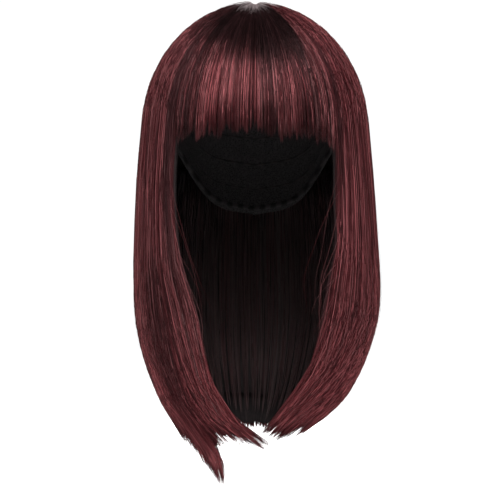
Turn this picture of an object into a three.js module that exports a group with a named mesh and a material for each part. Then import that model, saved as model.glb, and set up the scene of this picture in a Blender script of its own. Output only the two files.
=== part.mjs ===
// A straight bob wig with a full fringe, in the shape it has when worn.
// Millimetres, +Z up, the face opening looks along -Y.
// The origin is the inside top of the cap, where the crown of the head sits.

import * as THREE from "three";

// Head that the cap fits
const headWidth = 150;
const headLength = 190;
const crownHeight = 95; // from the widest level of the head up to its top
const lowerHeight = 115; // how far the head's lower curve reaches below that level

// Cap, a thin cup open at the face, the ears and the neck
const capWall = 2;
const capDepth = 165; // from the top of the head down to the nape edge
const capColumns = 48;
const capRows = 8;

// Clearances between neighbouring pieces
const seatGap = 0.9; // from the cap out to the hair that is sewn on it
const panelGap = 0.6; // between two hair panels, side by side
const scalpGap = 0.4; // under the scalp patch
const napeGap = 1.2; // from the top of the nape layer out to the panels
const napeTipGap = 3.2; // and from its lower end

// Thickness of the hair mass over the cap
const hairSide = 19;
const hairFront = 10.5;
const hairBack = 18;
const hairTop = 12;

// Parting on top and the scalp patch under it
const partingWidth = 3;
const partingFront = 28; // how far the parting runs forward of the crown
const partingBack = 34;
const partingSlope = 5; // the hair reaches full height this far from the parting
const rootShare = 0.3; // of the full hair thickness, at the parting itself
const scalpWall = 1.2;
const scalpWidth = 30;
const scalpLength = 84;
const scalpColumns = 20;
const liftedUntil = 27; // the hair lies over the patch up to this far from the parting
const settledFrom = 45; // and on the cap itself from here on

// Hanging hair
const fallLength = 255; // from the widest level of the head down to the common hem
const fallPace = 0.6; // share of the fall that equals one dome arc along a strand
const faceEdge = 0.7; // where the fringe meets the side hair, as a share of the half width
const sideBackDegrees = 102; // degrees from the face, where side hair meets back hair
const ridgeDepth = 2.4; // valley between two locks
const tipCut = 17; // how far the hem is notched between two locks
const ridgeFullShare = 0.5; // share of the dome path where the valleys reach that depth
const stepsPerLock = 4;
const widthSpreadShare = 0.28; // how much the locks differ in width, as a share
const widthBeat = 2.4; // radians from one lock to the next in that variation
const lengthSpreadShare = 0.35; // and in length, as a share of the notch
const lengthBeat = 4.1;
const edgeThinsShare = 0.7; // share of the way across a side panel, towards the face
const edgeShare = 0.25; // of the thickness, at the edge that frames the face

// Fringe, which thins out below the front edge of the cap
const fringeRidge = 1.5;
const fringeCut = 9;
const fringeThinsShare = 0.6; // share of the path over the dome, for the side hair too
const fringeTipShare = 0.32; // of the hair's thickness over the forehead

// Nape layer, the shorter hair inside the back
const napeStartShare = 0.12; // shares of the fall covered by the nape layer
const napeEndShare = 0.93;
const napeTurnDegrees = 98; // degrees each way from the middle of the back
const napeWall = 5.6;
const napeTipWall = 2.2;
const napeRidge = 0.9;
const napeLocks = 8;
const napeSeed = 0.4;

// Lower edge of the cap, from the face round to the nape. Turn is in degrees from the
// face, down is a share of capDepth.
const capEdge = [
  { turn: 0, down: 0.3 },
  { turn: 32, down: 0.34 },
  { turn: 56, down: 0.5 },
  { turn: 72, down: 0.7 },
  { turn: 80, down: 0.71 },
  { turn: 97, down: 0.57 },
  { turn: 118, down: 0.68 },
  { turn: 145, down: 0.93 },
  { turn: 180, down: 1 },
];

// Sections of the hanging hair. Down is a share of fallLength. Left, right, front and
// back are shares of the hair's half sizes at the widest level of the head, and thick
// is a share of the hair's thickness there. The edges say where the side hair ends in
// front, as shares of its place beside the fringe, and a negative one is past the middle.
const fall = [
  { down: 0.0, left: 1.0, right: 1.0, front: 1.0, back: 1.0, leftEdge: 1, rightEdge: 1, thick: 1.0 },
  { down: 0.1, left: 1.03, right: 1.03, front: 0.98, back: 1.012, leftEdge: 1, rightEdge: 1, thick: 0.88 },
  { down: 0.23, left: 1.048, right: 1.055, front: 0.945, back: 1.02, leftEdge: 0.985, rightEdge: 0.97, thick: 0.74 },
  { down: 0.39, left: 1.065, right: 1.085, front: 0.89, back: 1.022, leftEdge: 0.92, rightEdge: 0.95, thick: 0.66 },
  { down: 0.49, left: 1.068, right: 1.1, front: 0.86, back: 1.015, leftEdge: 0.835, rightEdge: 0.857, thick: 0.62 },
  { down: 0.56, left: 1.065, right: 1.1, front: 0.83, back: 1.0, leftEdge: 0.75, rightEdge: 0.82, thick: 0.6 },
  { down: 0.63, left: 1.05, right: 1.08, front: 0.795, back: 0.975, leftEdge: 0.68, rightEdge: 0.793, thick: 0.57 },
  { down: 0.73, left: 1.0, right: 1.005, front: 0.735, back: 0.92, leftEdge: 0.65, rightEdge: 0.77, thick: 0.53 },
  { down: 0.83, left: 0.91, right: 0.89, front: 0.665, back: 0.845, leftEdge: 0.635, rightEdge: 0.685, thick: 0.47 },
  { down: 0.9, left: 0.83, right: 0.765, front: 0.61, back: 0.775, leftEdge: 0.585, rightEdge: 0.57, thick: 0.4 },
  { down: 0.96, left: 0.73, right: 0.59, front: 0.56, back: 0.7, leftEdge: 0.37, rightEdge: 0.443, thick: 0.31 },
  { down: 1.0, left: 0.655, right: 0.43, front: 0.525, back: 0.645, leftEdge: 0.03, rightEdge: 0.286, thick: 0.26 },
  { down: 1.08, left: 0.62, right: 0.25, front: 0.48, back: 0.52, leftEdge: -0.5, rightEdge: 0.17, thick: 0.2 },
  { down: 1.16, left: 0.56, right: 0.15, front: 0.44, back: 0.42, leftEdge: -0.64, rightEdge: 0.143, thick: 0.16 },
];

// Hem of each panel. Across runs over the panel, from its back edge to its front edge
// on a side panel and from left to right on the others. Down is a share of fallLength,
// and a negative one is above the widest level of the head.
const leftHem = [
  { across: 0, down: 0.985 },
  { across: 0.3, down: 1.0 },
  { across: 0.55, down: 1.045 },
  { across: 0.76, down: 1.14 },
  { across: 0.9, down: 1.05 },
  { across: 1, down: 1.02 },
];
const rightHem = [
  { across: 0, down: 0.985 },
  { across: 0.5, down: 0.99 },
  { across: 0.85, down: 0.99 },
  { across: 1, down: 0.975 },
];
const backHem = [
  { across: 0, down: 0.985 },
  { across: 0.5, down: 1.0 },
  { across: 1, down: 0.985 },
];
const fringeHem = [
  { across: 0, down: 0.042 },
  { across: 0.16, down: 0.03 },
  { across: 0.36, down: 0.002 },
  { across: 0.55, down: -0.004 },
  { across: 0.68, down: 0.026 },
  { across: 0.84, down: 0.038 },
  { across: 1, down: 0.056 },
];

// Rows along a strand: shares of the dome, then shares of the fall down to the hem
const domeRows = [0, 0.034, 0.15, 0.3, 0.44, 0.58, 0.72, 0.86, 1];
const fallRows = [0.18, 0.36, 0.52, 0.65, 0.76, 0.86, 0.94, 1];
const napeRows = [0, 0.2, 0.4, 0.6, 0.74, 0.87, 1];
const scalpRows = [0.4, 0.75, 1];

const burgundy = new THREE.MeshStandardMaterial({ color: 0x59242b, roughness: 0.45, metalness: 0 });
const darkBrown = new THREE.MeshStandardMaterial({ color: 0x1b1214, roughness: 0.6, metalness: 0 });
const blackNet = new THREE.MeshStandardMaterial({ color: 0x141315, roughness: 0.9, metalness: 0 });
const paleScalp = new THREE.MeshStandardMaterial({ color: 0xd8d2cd, roughness: 0.7, metalness: 0 });

const { lerp, smoothstep, degToRad, clamp } = THREE.MathUtils;
const quarter = Math.PI / 2;

// Half sizes of the three nested domes: the cap's inside, its outside and the hair
const headDome = {
  side: headWidth / 2,
  front: headLength / 2,
  back: headLength / 2,
  up: crownHeight,
  low: lowerHeight,
};
const capDome = grown(headDome, capWall);
const seatDome = grown(capDome, seatGap);
const hairDome = {
  side: seatDome.side + hairSide,
  front: seatDome.front + hairFront,
  back: seatDome.back + hairBack,
  up: seatDome.up + hairTop,
};
const scalpLift = scalpGap + scalpWall;

function grown(dome, by) {
  const bigger = {};
  for (const name in dome) bigger[name] = dome[name] + by;
  return bigger;
}

// The value of one column at a place in a table, on a smooth curve through its rows
function read(table, column, by, at) {
  const last = table.length - 1;
  let i = 0;
  while (i < last - 1 && at > table[i + 1][by]) i++;
  const slope = (a, b) => (table[b][column] - table[a][column]) / (table[b][by] - table[a][by]);
  const span = table[i + 1][by] - table[i][by];
  const share = clamp((at - table[i][by]) / span, 0, 1);
  const leave = slope(Math.max(i - 1, 0), i + 1) * span;
  const arrive = slope(i, Math.min(i + 2, last)) * span;
  const change = table[i + 1][column] - table[i][column];
  return (
    table[i][column] +
    share * (leave + share * (3 * change - 2 * leave - arrive + share * (leave + arrive - 2 * change)))
  );
}

// A point of a strand over the dome. Turn is the angle from the face and share runs
// from the parting to the widest level of the head.
function overDome(half, turn, share) {
  const facing = Math.cos(turn) > 0;
  const depth = facing ? half.front : half.back;
  const reach = facing ? partingFront : partingBack;
  const sideways = half.side * Math.sin(lerp(Math.asin(partingWidth / 2 / half.side), quarter, share));
  const lengthways = depth * Math.sin(lerp(Math.asin(reach / depth), quarter, share));
  const x = sideways * Math.sin(turn);
  const y = -lengthways * Math.cos(turn);
  const rise = Math.sqrt(Math.max(0, 1 - (x / half.side) ** 2 - (y / depth) ** 2));
  return new THREE.Vector3(x, y, half.up * rise - crownHeight);
}

// A point of a strand in the hanging hair, on a section with the given half sizes
function inFall(half, turn, down) {
  const depth = Math.cos(turn) > 0 ? half.front : half.back;
  return new THREE.Vector3(
    half.side * Math.sin(turn),
    -depth * Math.cos(turn),
    -crownHeight - down * fallLength,
  );
}

// Path 0 to 1 runs over the dome and what is past 1 runs down the fall
const downAt = (path) => (path - 1) * fallPace;
const pathAt = (down) => 1 + down / fallPace;

// A point in the hair mass. Side names the column of widths, inset is how deep the point
// lies under the outer surface, and inner is true on the side that faces the head. Thin
// is the share of the full thickness that a panel has.
function hairPoint({ side, turn, path, inset = 0, inner = false, thin = 1 }) {
  if (path <= 1) {
    const fromRoot = path * quarter * hairDome.side;
    const lift = scalpLift * (1 - smoothstep(fromRoot, liftedUntil, settledFrom));
    const rise = lerp(rootShare, 1, smoothstep(fromRoot, 0, partingSlope));
    const half = {};
    for (const name in hairDome) {
      const seat = seatDome[name] + (name === "up" ? lift : 0);
      const outside = lerp(seat, hairDome[name], rise);
      half[name] = inner ? lerp(outside, seat, thin) : outside - inset;
    }
    return overDome(half, turn, path);
  }
  const down = downAt(path);
  const thick = read(fall, "thick", "down", down) * thin;
  const size = (name, column) => {
    const under = inner ? (hairDome[name] - seatDome[name]) * thick : inset;
    return hairDome[name] * read(fall, column, "down", down) - under;
  };
  return inFall({ side: size("side", side), front: size("front", "front"), back: size("back", "back") }, turn, down);
}

// Columns over a panel of locks: where each lies across it, and how near it is to the
// middle of its lock. The locks differ a little in width and in length.
function lockColumns(count, seed) {
  const widthOf = (i) => 1 + widthSpreadShare * Math.sin(widthBeat * i + seed);
  const widths = Array.from({ length: count }, (_, i) => widthOf(i));
  const total = widths.reduce((sum, width) => sum + width, 0);
  const columns = [];
  let start = 0;
  widths.forEach((width, i) => {
    for (let step = 0; step < stepsPerLock; step++) {
      const share = step / stepsPerLock;
      const crest = Math.sin(Math.PI * share);
      const longer = lengthSpreadShare * Math.sin(lengthBeat * i + seed) * crest;
      columns.push({ across: (start + share * width) / total, crest, longer });
    }
    start += width;
  });
  columns.push({ across: 1, crest: 0, longer: 0 });
  return columns;
}

// Joins rings of points, from the root down, into one closed solid. A ring of one point
// is a pole. With a fineCount, each end is a strip between the ring's first fineCount
// points and the rest, which are half as many and run the other way.
function loft(rings, { fineCount = 0, mirrored = false } = {}) {
  const positions = [];
  const faces = [];
  const face = (a, b, c) => faces.push(a, mirrored ? c : b, mirrored ? b : c);
  const starts = rings.map((ring) => {
    const start = positions.length / 3;
    for (const p of ring) positions.push(p.x, p.y, p.z);
    return start;
  });
  for (let r = 0; r + 1 < rings.length; r++) {
    const count = Math.max(rings[r].length, rings[r + 1].length);
    const place = (row, i) => starts[row] + (rings[row].length > 1 ? i % count : 0);
    for (let i = 0; i < count; i++) {
      if (rings[r + 1].length > 1) face(place(r, i), place(r + 1, i), place(r + 1, i + 1));
      if (rings[r].length > 1) face(place(r, i), place(r + 1, i + 1), place(r, i + 1));
    }
  }
  const strip = (start, flip) => {
    for (let i = 0; i + 2 < fineCount; i += 2) {
      const [a, b, c] = [start + i, start + i + 1, start + i + 2];
      const d = start + rings[0].length - 1 - i / 2;
      const parts = [[a, b, d], [b, d - 1, d], [b, c, d - 1]];
      for (const [p, q, s] of parts) flip ? face(p, s, q) : face(p, q, s);
    }
  };
  strip(starts[0], false);
  strip(starts.at(-1), true);
  const geometry = new THREE.BufferGeometry();
  geometry.setAttribute("position", new THREE.Float32BufferAttribute(positions, 3));
  geometry.setIndex(faces);
  geometry.computeVertexNormals();
  return geometry;
}

// A panel of hair: locks side by side, fused along a common backing. TurnAt gives the
// turn of a strand at a place across the panel and a place along its path.
function panel({ locks, seed, hem, turnAt, side, thinAt, ridge = ridgeDepth, cut = tipCut }) {
  const columns = lockColumns(locks, seed);
  const hangs = hem[0].down > 0.5;
  const rows = hangs ? domeRows.length + fallRows.length : domeRows.length;
  const pointAt = ({ across, crest, longer }, row, inner) => {
    const notch = (cut / fallLength) * (1 - crest - longer);
    const end = pathAt(read(hem, "down", "across", across) - notch);
    const domeShare = hangs ? 1 : end;
    const path = row < domeRows.length
      ? domeRows[row] * domeShare
      : 1 + (end - 1) * fallRows[row - domeRows.length];
    const thick = read(fall, "thick", "down", Math.max(0, downAt(path)));
    const inset = ridge * thick * (1 - crest) * smoothstep(path, 0, ridgeFullShare);
    const place = { side: side(across), path, inner, thin: thinAt(across, path) };
    const point = hairPoint({ ...place, inset, turn: turnAt(across, path) });
    if (across > 0 && across < 1) return point;
    const beside = Math.abs(across - 1 / locks);
    const inwards = hairPoint({ ...place, inset, turn: turnAt(beside, path) }).sub(point);
    return point.add(inwards.setLength(panelGap / 2));
  };
  const rings = Array.from({ length: rows }, (_, row) => [
    ...columns.map((column) => pointAt(column, row, false)),
    ...columns.filter((_, i) => i % 2 === 0).map((column) => pointAt(column, row, true)).reverse(),
  ]);
  return loft(rings, { fineCount: columns.length, mirrored: turnAt(0, 0) > turnAt(1, 0) });
}

// Turn of the front edge of a side panel at a place along the path
function edgeTurn(edge, path) {
  return Math.asin(faceEdge * read(fall, edge, "down", Math.max(0, downAt(path))));
}

// Turn of a strand of a side panel, from its back edge to its front edge. The nearer the
// front, the more it sweeps towards the middle as it falls.
function sideTurn(edge, across, path) {
  const atDome = edgeTurn(edge, 0);
  const sweep = (atDome - edgeTurn(edge, path)) * across ** 3;
  return lerp(degToRad(sideBackDegrees), atDome, across) - sweep;
}

// A side panel keeps its full thickness over the cap and thins out beside the face
function sideThin(across, path) {
  const freed = smoothstep(path, fringeThinsShare, 1) * smoothstep(across, edgeThinsShare, 1);
  return lerp(1, edgeShare, freed);
}

function fringe() {
  const halfTurn = edgeTurn("leftEdge", 0);
  return panel({
    locks: 11,
    seed: 0.7,
    hem: fringeHem,
    side: (across) => (across < 0.5 ? "left" : "right"),
    turnAt: (across) => lerp(-halfTurn, halfTurn, across),
    thinAt: (across, path) => lerp(1, fringeTipShare, smoothstep(path, fringeThinsShare, 1)),
    ridge: fringeRidge,
    cut: fringeCut,
  });
}

function leftSide() {
  return panel({
    locks: 9,
    seed: 1.9,
    hem: leftHem,
    side: () => "left",
    turnAt: (across, path) => -sideTurn("leftEdge", across, path),
    thinAt: sideThin,
  });
}

function rightSide() {
  return panel({
    locks: 9,
    seed: 3.3,
    hem: rightHem,
    side: () => "right",
    turnAt: (across, path) => sideTurn("rightEdge", across, path),
    thinAt: sideThin,
  });
}

function backHair() {
  const start = degToRad(sideBackDegrees);
  return panel({
    locks: 14,
    seed: 5.2,
    hem: backHem,
    side: (across) => (across < 0.5 ? "right" : "left"),
    turnAt: (across) => lerp(start, 2 * Math.PI - start, across),
    thinAt: () => 1,
  });
}

// The shorter hair under the back, sewn on the nape of the cap. Its locks face the neck.
function napeLayer() {
  const columns = lockColumns(napeLocks, napeSeed);
  const halfTurn = degToRad(napeTurnDegrees);
  const pointAt = ({ across, crest, longer }, share, inner) => {
    const notch = (tipCut / fallLength) * (1 - crest - longer);
    const down = lerp(napeStartShare, napeEndShare - notch, share);
    const wall = lerp(napeWall, napeTipWall, share) - napeRidge * (1 - crest) * share;
    const gap = lerp(napeGap, napeTipGap, share) + (inner ? wall : 0);
    const side = across < 0.5 ? "right" : "left";
    const thick = read(fall, "thick", "down", down);
    const size = (name, column) =>
      hairDome[name] * read(fall, column, "down", down) - (hairDome[name] - seatDome[name]) * thick - gap;
    const half = { side: size("side", side), front: size("front", "front"), back: size("back", "back") };
    return inFall(half, Math.PI + lerp(-halfTurn, halfTurn, across), down);
  };
  const rings = napeRows.map((share) => [
    ...columns.map((column) => pointAt(column, share, true)),
    ...columns.filter((_, i) => i % 2 === 0).map((column) => pointAt(column, share, false)).reverse(),
  ]);
  return loft(rings, { fineCount: columns.length, mirrored: true });
}

// The cap: rings from the outside pole down to the edge, then up the inside
function cap() {
  const ring = (dome, row) => Array.from({ length: capColumns }, (_, i) => {
    const turn = (2 * Math.PI * i) / capColumns;
    const fromFace = 180 - Math.abs(180 - (360 * i) / capColumns);
    const edge = crownHeight - capDepth * read(capEdge, "down", "turn", fromFace);
    const edgeTilt = edge > 0 ? Math.acos(edge / dome.up) : quarter + Math.asin(-edge / dome.low);
    const tilt = (edgeTilt * row) / capRows;
    const height = Math.cos(tilt) * (tilt < quarter ? dome.up : dome.low);
    const depth = Math.cos(turn) > 0 ? dome.front : dome.back;
    return new THREE.Vector3(
      dome.side * Math.sin(tilt) * Math.sin(turn),
      -depth * Math.sin(tilt) * Math.cos(turn),
      height - crownHeight,
    );
  });
  const rows = Array.from({ length: capRows }, (_, i) => i + 1);
  return loft([
    [new THREE.Vector3(0, 0, capWall)],
    ...rows.map((row) => ring(capDome, row)),
    ...rows.map((row) => ring(headDome, row)).reverse(),
    [new THREE.Vector3(0, 0, 0)],
  ]);
}

// The pale patch on top of the cap, which shows in the parting
function scalpTop() {
  const middle = (partingBack - partingFront) / 2;
  const pointAt = (share, turn, above) => {
    const x = (scalpWidth / 2) * share * Math.sin(turn);
    const y = middle - (scalpLength / 2) * share * Math.cos(turn);
    const rise = Math.sqrt(1 - (x / (capDome.side + above)) ** 2 - (y / (capDome.front + above)) ** 2);
    return new THREE.Vector3(x, y, (capDome.up + above) * rise - crownHeight);
  };
  const ring = (share, above) => Array.from({ length: scalpColumns }, (_, i) =>
    pointAt(share, (2 * Math.PI * i) / scalpColumns, above));
  return loft([
    [pointAt(0, 0, scalpLift)],
    ...scalpRows.map((share) => ring(share, scalpLift)),
    ...scalpRows.map((share) => ring(share, scalpGap)).reverse(),
    [pointAt(0, 0, scalpGap)],
  ]);
}

function piece(name, geometry, material) {
  const mesh = new THREE.Mesh(geometry, material);
  mesh.name = name;
  return mesh;
}

const wig = new THREE.Group();
wig.add(
  piece("cap", cap(), blackNet),
  piece("scalp_top", scalpTop(), paleScalp),
  piece("fringe", fringe(), burgundy),
  piece("left_side", leftSide(), burgundy),
  piece("right_side", rightSide(), burgundy),
  piece("back_hair", backHair(), burgundy),
  piece("nape_layer", napeLayer(), darkBrown),
);

export default wig;
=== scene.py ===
import math

import bpy
import mathutils
import numpy as np
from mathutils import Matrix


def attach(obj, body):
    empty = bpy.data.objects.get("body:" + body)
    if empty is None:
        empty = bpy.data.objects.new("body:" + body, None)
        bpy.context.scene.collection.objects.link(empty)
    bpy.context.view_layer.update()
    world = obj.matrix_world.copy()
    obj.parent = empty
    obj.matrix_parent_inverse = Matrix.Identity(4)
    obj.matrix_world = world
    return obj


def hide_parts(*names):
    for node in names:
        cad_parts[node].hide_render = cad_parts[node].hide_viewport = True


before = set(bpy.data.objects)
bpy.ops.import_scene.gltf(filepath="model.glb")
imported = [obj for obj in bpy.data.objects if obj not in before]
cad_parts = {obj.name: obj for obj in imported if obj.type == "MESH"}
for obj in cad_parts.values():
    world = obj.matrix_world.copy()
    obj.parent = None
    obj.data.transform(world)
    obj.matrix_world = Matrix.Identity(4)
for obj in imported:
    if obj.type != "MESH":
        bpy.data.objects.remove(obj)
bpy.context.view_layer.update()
bpy.ops.object.select_all(action="DESELECT")

quarter = math.pi / 2

# The head that the cap fits, the clearances and the hair's thickness, as in the CAD (metres)
headShape = {"side": 0.075, "front": 0.095, "back": 0.095, "up": 0.095, "low": 0.115}
capShape = {"wall": 0.002, "depth": 0.165, "seatGap": 0.0009}
hairThickness = {"side": 0.019, "front": 0.0105, "back": 0.018, "up": 0.012}
parting = {
    "width": 0.003,
    "front": 0.028,
    "back": 0.034,
    "slope": 0.003,  # full thickness this far from the parting
    "rootShare": 0.3,
    "lift": -0.0005,  # the hair dips a little towards it
    "liftedUntil": 0.027,
    "settledFrom": 0.045,
}
fallShape = {"length": 0.255, "pace": 0.6, "faceEdge": 0.7, "backEdge": math.radians(102)}

# Sections of the hanging hair, as shares of the sizes at the widest level of the head
fallTable = {
    "down": [0, 0.1, 0.23, 0.39, 0.49, 0.56, 0.63, 0.73, 0.83, 0.9, 0.96, 1, 1.08, 1.16],
    "left": [1, 1.03, 1.048, 1.065, 1.068, 1.065, 1.05, 1, 0.91, 0.83, 0.73, 0.655, 0.62, 0.56],
    "right": [1, 1.03, 1.055, 1.085, 1.1, 1.1, 1.08, 1.005, 0.89, 0.765, 0.59, 0.43, 0.25, 0.15],
    "front": [1, 0.98, 0.945, 0.89, 0.86, 0.83, 0.795, 0.735, 0.665, 0.61, 0.56, 0.525, 0.48, 0.44],
    "back": [1, 1.012, 1.02, 1.022, 1.015, 1, 0.975, 0.92, 0.845, 0.775, 0.7, 0.645, 0.52, 0.42],
    "leftEdge": [1, 1, 0.985, 0.92, 0.835, 0.75, 0.68, 0.65, 0.635, 0.585, 0.37, 0.03, -0.5, -0.64],
    "rightEdge": [1, 1, 0.97, 0.95, 0.857, 0.82, 0.793, 0.77, 0.685, 0.57, 0.443, 0.286, 0.17, 0.143],
    "thick": [1, 0.88, 0.74, 0.66, 0.62, 0.6, 0.57, 0.53, 0.47, 0.4, 0.31, 0.26, 0.2, 0.16],
}


def readTable(table, column, by, at):
    # a smooth curve through the rows of a table
    keys, values = np.array(table[by], float), np.array(table[column], float)
    at = np.asarray(at, float)
    last = len(keys) - 1
    i = np.clip(np.searchsorted(keys, at, side="right") - 1, 0, last - 1)

    def slope(a, b):
        return (values[b] - values[a]) / (keys[b] - keys[a])

    span = keys[i + 1] - keys[i]
    share = np.clip((at - keys[i]) / span, 0, 1)
    leave = slope(np.maximum(i - 1, 0), i + 1) * span
    arrive = slope(i, np.minimum(i + 2, last)) * span
    change = values[i + 1] - values[i]
    bend = 3 * change - 2 * leave - arrive + share * (leave + arrive - 2 * change)
    return values[i] + share * (leave + share * bend)


def smooth(value, low, high):
    share = np.clip((np.asarray(value, float) - low) / (high - low), 0, 1)
    return share * share * (3 - 2 * share)


def mix(a, b, share):
    return a + (b - a) * share


seatShape = {name: headShape[name] + capShape["wall"] + capShape["seatGap"] for name in headShape}
hairShape = {name: seatShape[name] + hairThickness[name] for name in hairThickness}


def pathAt(down):
    return 1 + np.asarray(down, float) / fallShape["pace"]


def downAt(path):
    return (np.asarray(path, float) - 1) * fallShape["pace"]


def fallShare(column, path):
    return readTable(fallTable, column, "down", np.maximum(0, downAt(path)))


def hairPoint(turn, path, inset=0.0, deep=0.0, side=None):
    # path 0 to 1 runs over the dome and what is past 1 runs down the fall; deep is 0 on
    # the outer surface and 1 on the side that faces the head
    turn, path, inset, deep = np.broadcast_arrays(turn, path, inset, deep)
    facing = np.cos(turn) > 0
    onDome = np.clip(path, 0, 1)
    fromRoot = onDome * quarter * hairShape["side"]
    lift = parting["lift"] * (1 - smooth(fromRoot, parting["liftedUntil"], parting["settledFrom"]))
    rise = mix(parting["rootShare"], 1, smooth(fromRoot, 0, parting["slope"]))

    def domeHalf(name, extra=0.0):
        seat = seatShape[name] + extra
        outside = mix(seat, hairShape[name], rise)
        return mix(outside, seat, deep) - inset

    sideHalf = domeHalf("side")
    depthHalf = np.where(facing, domeHalf("front"), domeHalf("back"))
    upHalf = domeHalf("up", lift)
    sideStart = np.arcsin(parting["width"] / 2 / sideHalf)
    depthStart = np.arcsin(np.where(facing, parting["front"], parting["back"]) / depthHalf)
    x = sideHalf * np.sin(mix(sideStart, quarter, onDome)) * np.sin(turn)
    y = -depthHalf * np.sin(mix(depthStart, quarter, onDome)) * np.cos(turn)
    height = np.sqrt(np.maximum(0, 1 - (x / sideHalf) ** 2 - (y / depthHalf) ** 2))
    dome = np.stack([x, y, upHalf * height - headShape["up"]], -1)

    down = np.maximum(0, downAt(path))
    under = fallShare("thick", path) * deep

    def fallHalf(name, column):
        full = hairShape[name] * fallShare(column, path)
        return full - (hairShape[name] - seatShape[name]) * under - inset

    onLeft = np.sin(turn) < 0 if side is None else np.full(turn.shape, side == "left")
    sideHalf = np.where(onLeft, fallHalf("side", "left"), fallHalf("side", "right"))
    depthHalf = np.where(facing, fallHalf("front", "front"), fallHalf("back", "back"))
    z = -headShape["up"] - down * fallShape["length"]
    fall = np.stack([sideHalf * np.sin(turn), -depthHalf * np.cos(turn), z], -1)
    return np.where((path <= 1)[..., None], dome, fall)


def edgeTurn(edge, path):
    return np.arcsin(fallShape["faceEdge"] * fallShare(edge, path))


def sideTurn(edge, across, path):
    # strands near the face sweep towards the middle as they fall
    atDome = edgeTurn(edge, 0)
    sweep = (atDome - edgeTurn(edge, path)) * np.clip(across, 0, 2) ** 3
    return mix(fallShape["backEdge"], atDome, across) - sweep


# Materials

def newMaterial(name, roughness, specular=0.5):
    material = bpy.data.materials.new(name)
    material.use_nodes = True
    shader = material.node_tree.nodes["Principled BSDF"]
    shader.inputs["Roughness"].default_value = roughness
    shader.inputs["Specular IOR Level"].default_value = specular
    return material, material.node_tree.nodes, material.node_tree.links, shader


def rampColour(nodes, links, source, stops):
    ramp = nodes.new("ShaderNodeValToRGB")
    while len(ramp.color_ramp.elements) < len(stops):
        ramp.color_ramp.elements.new(0.5)
    for element, (place, colour) in zip(ramp.color_ramp.elements, stops):
        element.position = place
        element.color = (*colour, 1)
    links.new(source, ramp.inputs["Fac"])
    return ramp.outputs["Color"]


def ownMap(nodes):
    place = nodes.new("ShaderNodeUVMap")
    place.uv_map = "OFBake"
    return place.outputs["UV"]


def blendColours(nodes, links, share, first, second):
    blend = nodes.new("ShaderNodeMix")
    blend.data_type = "RGBA"
    links.new(share, blend.inputs["Factor"])
    links.new(first, blend.inputs["A"])
    links.new(second, blend.inputs["B"])
    return blend.outputs["Result"]


def addBump(nodes, links, shader, source, height, invert=False):
    bump = nodes.new("ShaderNodeBump")
    bump.inputs["Distance"].default_value = height
    bump.invert = invert
    links.new(source, bump.inputs["Height"])
    links.new(bump.outputs["Normal"], shader.inputs["Normal"])


strandLook = {
    "brown": [(0, (0.002, 0.0016, 0.0016)), (0.5, (0.019, 0.0103, 0.011)), (1, (0.108, 0.062, 0.062))],
    "red": [(0, (0.006, 0.0019, 0.0021)), (0.5, (0.062, 0.0103, 0.0125)), (1, (0.255, 0.066, 0.072))],
    "roughness": 0.32,
    "specular": 0.24,
    "specularTint": (1, 0.5, 0.52, 1),
    "metallic": 0.5,  # tints the sheen, as dyed hair does
}


def strandMaterial(name, dull, bright):
    # the map's first number is the tone of a strand, from dark to bright, and the second
    # how far it goes from the dull to the bright ramp
    material, nodes, links, shader = newMaterial(name, strandLook["roughness"], strandLook["specular"])
    shader.inputs["Specular Tint"].default_value = strandLook["specularTint"]
    shader.inputs["Metallic"].default_value = strandLook["metallic"]
    split = nodes.new("ShaderNodeSeparateXYZ")
    links.new(ownMap(nodes), split.inputs[0])
    low, high = (rampColour(nodes, links, split.outputs["X"], stops) for stops in (dull, bright))
    colour = blendColours(nodes, links, split.outputs["Y"], low, high)
    links.new(colour, shader.inputs["Base Color"])
    return material


def streakGroup():
    # fine streaks along the hair, across being the map's first number
    group = bpy.data.node_groups.new("hairStreaks", "ShaderNodeTree")
    inputs = [("Map", "NodeSocketVector"), ("Fine", "NodeSocketFloat"), ("Long", "NodeSocketFloat")]
    for name, kind in inputs:
        group.interface.new_socket(name, in_out="INPUT", socket_type=kind)
    group.interface.new_socket("Streak", in_out="OUTPUT", socket_type="NodeSocketFloat")
    nodes, links = group.nodes, group.links
    start, end = nodes.new("NodeGroupInput"), nodes.new("NodeGroupOutput")
    sizes = nodes.new("ShaderNodeCombineXYZ")
    links.new(start.outputs["Fine"], sizes.inputs["X"])
    links.new(start.outputs["Long"], sizes.inputs["Y"])
    stretched = nodes.new("ShaderNodeVectorMath")
    stretched.operation = "MULTIPLY"
    links.new(start.outputs["Map"], stretched.inputs[0])
    links.new(sizes.outputs[0], stretched.inputs[1])
    noise = nodes.new("ShaderNodeTexNoise")
    noise.inputs["Scale"].default_value = 1
    noise.inputs["Detail"].default_value = 4
    noise.inputs["Roughness"].default_value = 0.6
    links.new(stretched.outputs[0], noise.inputs["Vector"])
    links.new(noise.outputs["Fac"], end.inputs["Streak"])
    return group


streaks = streakGroup()


def streakedMaterial(name, stops, roughness, fine, long, height, below=None):
    # below has the stops that take over towards the hem, and from where to where they do
    material, nodes, links, shader = newMaterial(name, roughness, 0.1)
    place = ownMap(nodes)
    streak = nodes.new("ShaderNodeGroup")
    streak.node_tree = streaks
    streak.inputs["Fine"].default_value = fine
    streak.inputs["Long"].default_value = long
    links.new(place, streak.inputs["Map"])
    colour = rampColour(nodes, links, streak.outputs["Streak"], stops)
    if below:
        split, down = nodes.new("ShaderNodeSeparateXYZ"), nodes.new("ShaderNodeMapRange")
        down.inputs["From Min"].default_value = below["from"]
        down.inputs["From Max"].default_value = below["to"]
        links.new(place, split.inputs[0])
        links.new(split.outputs["Y"], down.inputs["Value"])
        low = rampColour(nodes, links, streak.outputs["Streak"], below["stops"])
        colour = blendColours(nodes, links, down.outputs["Result"], colour, low)
    links.new(colour, shader.inputs["Base Color"])
    addBump(nodes, links, shader, streak.outputs["Streak"], height)
    return material


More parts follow.
